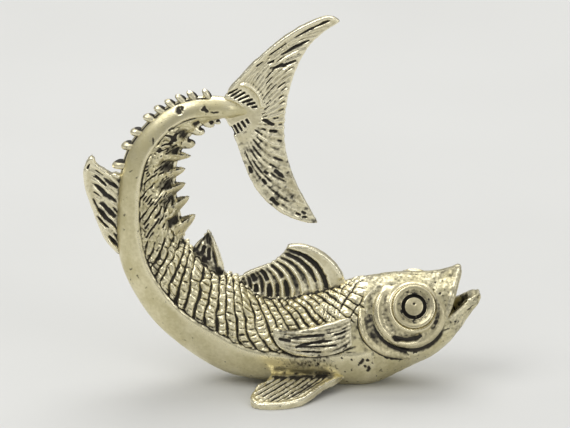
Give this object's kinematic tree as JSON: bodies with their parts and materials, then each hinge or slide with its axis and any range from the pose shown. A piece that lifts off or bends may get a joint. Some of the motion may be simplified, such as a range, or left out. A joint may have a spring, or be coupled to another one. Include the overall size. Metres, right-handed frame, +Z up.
{
  "type": "fish figurine",
  "caption": "Curled cast-metal fish statuette with scaled flanks, ribbed fins and finlets, standing on its belly and splayed pelvic fins.",
  "frame": {"origin": "on the table, under the middle of the bounding box, in the fish's middle plane", "axes": "+X from the curl towards the mouth, +Y to the fish's left, +Z up"},
  "size_m": [0.0398, 0.0174, 0.0388],
  "materials": {
    "body_metal": "cast, darkened in the grooves and polished on the high spots",
    "fin_metal": "cast ribs, darkened between them",
    "face_metal": "satin, darkened in the rings"
  },
  "bodies": {
    "root": {"trunk_right": "body_metal", "trunk_left": "body_metal", "head": "body_metal", "first_dorsal_fin": "fin_metal", "second_dorsal_fin": "fin_metal", "anal_fin": "fin_metal", "tail_fin": "fin_metal", "dorsal_finlet_comb": "fin_metal", "ventral_finlet_comb": "fin_metal", "pectoral_fin_right": "fin_metal", "pectoral_fin_left": "fin_metal", "pelvic_fin_right": "fin_metal", "pelvic_fin_left": "fin_metal", "cheek_plate_right": "face_metal", "cheek_plate_left": "face_metal", "gill_cover_right": "face_metal", "gill_cover_left": "face_metal", "eye_right": "face_metal", "eye_left": "face_metal", "pupil_right": "face_metal", "pupil_left": "face_metal"}
  },
  "joints": []
}
